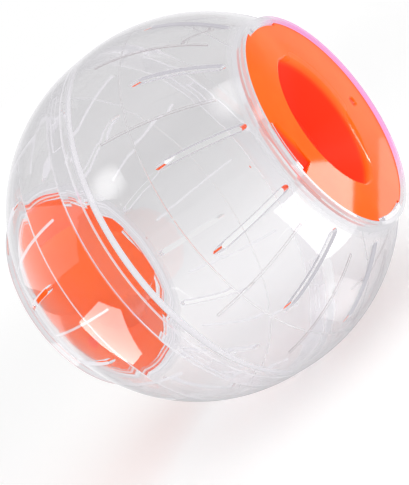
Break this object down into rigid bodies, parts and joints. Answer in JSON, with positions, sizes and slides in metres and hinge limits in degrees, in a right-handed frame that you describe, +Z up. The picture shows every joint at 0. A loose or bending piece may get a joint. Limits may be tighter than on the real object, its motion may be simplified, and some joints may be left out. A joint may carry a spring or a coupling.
{
  "type": "pet exercise ball",
  "caption": "Clear hollow exercise ball for a hamster: two slotted half shells locked at a seam, with an orange twist-off door cap in the collar at each end of its axis.",
  "frame": {"origin": "the middle of the ball, on its axis and in the middle of the seam", "axes": "+X runs along the ball's axis out through the right door cap, +Z is up through the middle of a slot of the right half, and +Y completes the frame"},
  "size_m": [0.158, 0.18, 0.18],
  "materials": {
    "clear_shell": "clear injection-moulded polystyrene, polished",
    "orange_cap": "glossy translucent orange plastic"
  },
  "bodies": {
    "right_half": {"right_half_shell": "clear_shell"},
    "left_half": {"left_half_shell": "clear_shell"},
    "right_cap": {"right_door_cap": "orange_cap"},
    "left_cap": {"left_door_cap": "orange_cap"}
  },
  "joints": [
    {"name": "seam_turn", "type": "hinge", "parent": "right_half", "child": "left_half", "pos_m": [0, 0, 0], "axis": [-1, 0, 0], "range_deg": [0, 10]},
    {"name": "right_cap_pull", "type": "slide", "parent": "right_half", "child": "right_cap", "axis": [1, 0, 0], "range_m": [0, 0.03]},
    {"name": "left_cap_pull", "type": "slide", "parent": "left_half", "child": "left_cap", "axis": [-1, 0, 0], "range_m": [0, 0.03]}
  ]
}
